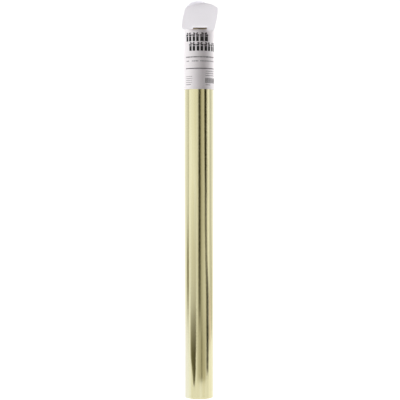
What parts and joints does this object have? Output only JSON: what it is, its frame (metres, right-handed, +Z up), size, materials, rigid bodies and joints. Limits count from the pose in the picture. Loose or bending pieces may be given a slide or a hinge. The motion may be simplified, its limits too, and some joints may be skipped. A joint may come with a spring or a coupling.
{
  "type": "wrapping paper roll",
  "caption": "Slim upright roll of glossy pale gold gift wrap on a kraft core, with a white paper sleeve label whose flaps close over the top end.",
  "frame": {"origin": "centre of the bottom end of the roll, on the axis of the core", "axes": "+Z runs up along the roll's axis, the front of the label and its front flap face -Y, +X is to the right seen from the front"},
  "size_m": [0.0488, 0.0415, 0.5394],
  "materials": {
    "kraft_board": "matte spiral-wound kraft board",
    "gold_paper": "glossy metallised pale gold, white on the back",
    "label_paper": "matte white printed paper",
    "flap_paper": "matte white paper, unprinted",
    "clear_tape": "clear adhesive tape",
    "dry_glue": "dried clear adhesive"
  },
  "bodies": {
    "roll": {"core_inner_ply": "kraft_board", "core_middle_ply": "kraft_board", "core_outer_ply": "kraft_board", "start_tape": "clear_tape", "inner_turns": "gold_paper", "outer_turn": "gold_paper", "edge_glue": "dry_glue"},
    "label": {"label_sleeve": "label_paper", "label_seam_glue": "dry_glue"},
    "front_panel": {"front_flap": "flap_paper"},
    "back_panel": {"back_flap": "flap_paper"}
  },
  "joints": [
    {"name": "label_slide", "type": "slide", "parent": "roll", "child": "label", "axis": [0, 0, 1], "range_m": [0, 0.09]},
    {"name": "front_crease", "type": "hinge", "parent": "label", "child": "front_panel", "pos_m": [0, -0.0207, 0.5004], "axis": [1, 0, 0], "range_deg": [0, 120]},
    {"name": "back_crease", "type": "hinge", "parent": "label", "child": "back_panel", "pos_m": [0, 0.0207, 0.5004], "axis": [-1, 0, 0], "range_deg": [0, 120]}
  ]
}
